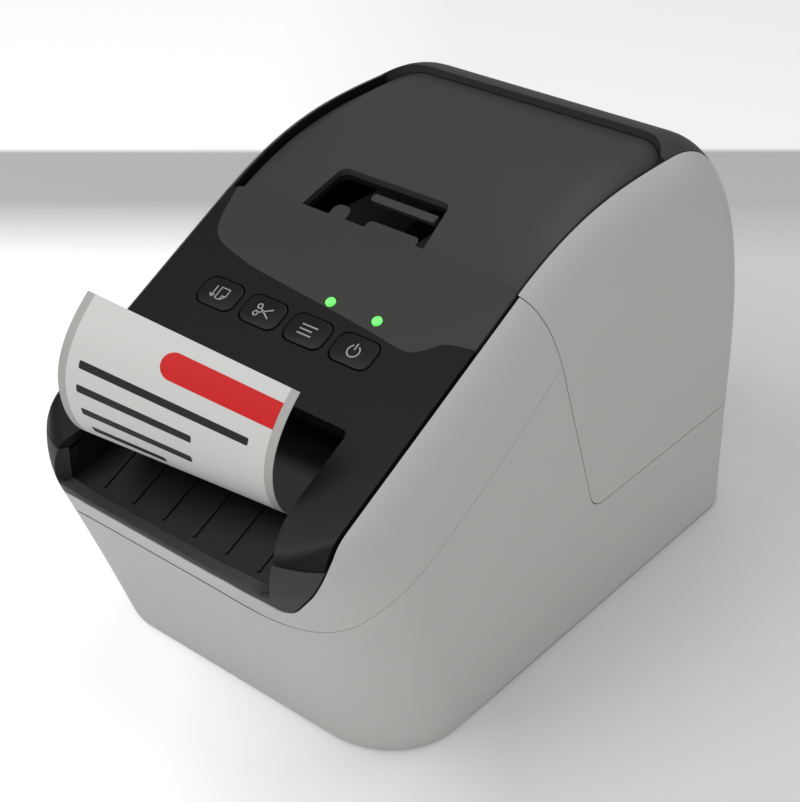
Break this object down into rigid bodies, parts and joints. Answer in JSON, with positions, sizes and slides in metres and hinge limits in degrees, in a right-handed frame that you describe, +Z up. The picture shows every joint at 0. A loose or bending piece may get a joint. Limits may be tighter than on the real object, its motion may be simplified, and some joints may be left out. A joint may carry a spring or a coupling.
{
  "type": "desktop label printer",
  "caption": "Wedge-shaped desktop label printer: hinged rear lid over a label roll, sloping panel with push buttons, curled label at the front outlet.",
  "frame": {"origin": "centre of the bounding box at the floor plane under the rubber feet", "axes": "+X to the right seen from the front, +Y to the rear, +Z up"},
  "size_m": [0.1254, 0.213, 0.1414],
  "materials": {
    "case_plastic": "fine texture",
    "black_plastic": "gloss",
    "dark_plastic": "satin",
    "accent_plastic": "satin",
    "guide_plastic": "satin",
    "liner_plastic": "matte",
    "base_plastic": "matte",
    "rubber": "matte",
    "steel": "satin",
    "paper": "matte",
    "card": "matte",
    "gear_plastic": "satin",
    "brass": "satin",
    "board": "satin",
    "motor_metal": "satin",
    "roller_rubber": "matte",
    "light": "gloss"
  },
  "bodies": {
    "housing": {"lower_case": "case_plastic", "bottom_plate": "base_plastic", "rubber_feet": "rubber", "case_screws": "steel", "front_frame": "case_plastic", "face_panel": "black_plastic", "accent_panel": "accent_plastic", "outlet_lip": "dark_plastic", "label_tray": "guide_plastic", "printed_label": "paper", "label_web": "paper", "chassis": "steel", "platen_bearings": "gear_plastic", "print_head": "steel", "head_springs": "steel", "cutter_frame": "liner_plastic", "cutter_motor": "motor_metal", "feed_motor": "motor_metal", "main_board": "board", "power_board": "board", "mains_inlet": "liner_plastic", "usb_socket": "steel", "button_board": "board", "light_pipes": "light", "roll_bay": "base_plastic", "spool": "base_plastic", "hinge_brackets": "base_plastic", "hinge_pins": "steel", "cover_switch": "liner_plastic"},
    "lid": {"lid_top": "dark_plastic", "lid_side_left": "case_plastic", "lid_side_right": "case_plastic", "rear_cover": "dark_plastic", "lid_liner": "liner_plastic", "lid_arms": "liner_plastic", "window_bar": "dark_plastic"},
    "feed_key": {"feed_button": "black_plastic"},
    "cut_key": {"cut_button": "black_plastic"},
    "mode_key": {"mode_button": "black_plastic"},
    "power_key": {"power_button": "black_plastic"},
    "platen": {"platen_roller": "roller_rubber", "platen_gear": "gear_plastic"},
    "idler": {"idler_gear": "gear_plastic"},
    "pinion": {"motor_pinion": "brass"},
    "roll": {"label_roll": "paper", "roll_core": "card"},
    "blade": {"cutter_blade": "steel"},
    "blade_drive": {"cutter_pinion": "brass"}
  },
  "joints": [
    {"name": "lid_hinge", "type": "hinge", "parent": "housing", "child": "lid", "pos_m": [0, 0.09996, 0.052], "axis": [-1, 0, 0], "range_deg": [0, 85]},
    {"name": "feed_press", "type": "slide", "parent": "housing", "child": "feed_key", "axis": [0, 0.4695, -0.8829], "range_m": [0, 0.0008], "stiffness_N_per_m": 400, "springref_m": -0.0005},
    {"name": "cut_press", "type": "slide", "parent": "housing", "child": "cut_key", "axis": [0, 0.4695, -0.8829], "range_m": [0, 0.0008], "stiffness_N_per_m": 400, "springref_m": -0.0005},
    {"name": "mode_press", "type": "slide", "parent": "housing", "child": "mode_key", "axis": [0, 0.4695, -0.8829], "range_m": [0, 0.0008], "stiffness_N_per_m": 400, "springref_m": -0.0005},
    {"name": "power_press", "type": "slide", "parent": "housing", "child": "power_key", "axis": [0, 0.4695, -0.8829], "range_m": [0, 0.0008], "stiffness_N_per_m": 400, "springref_m": -0.0005},
    {"name": "platen_spin", "type": "hinge", "parent": "housing", "child": "platen", "pos_m": [0, -0.04, 0.0913], "axis": [1, 0, 0], "continuous": true},
    {"name": "idler_spin", "type": "hinge", "parent": "housing", "child": "idler", "pos_m": [0, -0.02792, 0.07039], "axis": [1, 0, 0], "continuous": true},
    {"name": "pinion_spin", "type": "hinge", "parent": "housing", "child": "pinion", "pos_m": [0, -0.03129, 0.05133], "axis": [1, 0, 0], "continuous": true},
    {"name": "roll_spin", "type": "hinge", "parent": "housing", "child": "roll", "pos_m": [0, 0.05199, 0.062], "axis": [1, 0, 0], "continuous": true},
    {"name": "blade_stroke", "type": "slide", "parent": "housing", "child": "blade", "axis": [0, 0, -1], "range_m": [0, 0.003]},
    {"name": "blade_drive_spin", "type": "hinge", "parent": "housing", "child": "blade_drive", "pos_m": [0, -0.04795, 0.058], "axis": [1, 0, 0], "range_deg": [-1, 44]}
  ],
  "couplings": [
    {"joint": "idler_spin", "follows": "platen_spin", "ratio": -0.66667},
    {"joint": "pinion_spin", "follows": "platen_spin", "ratio": 2},
    {"joint": "blade_drive_spin", "follows": "blade_stroke", "rad_per_m": 250}
  ]
}
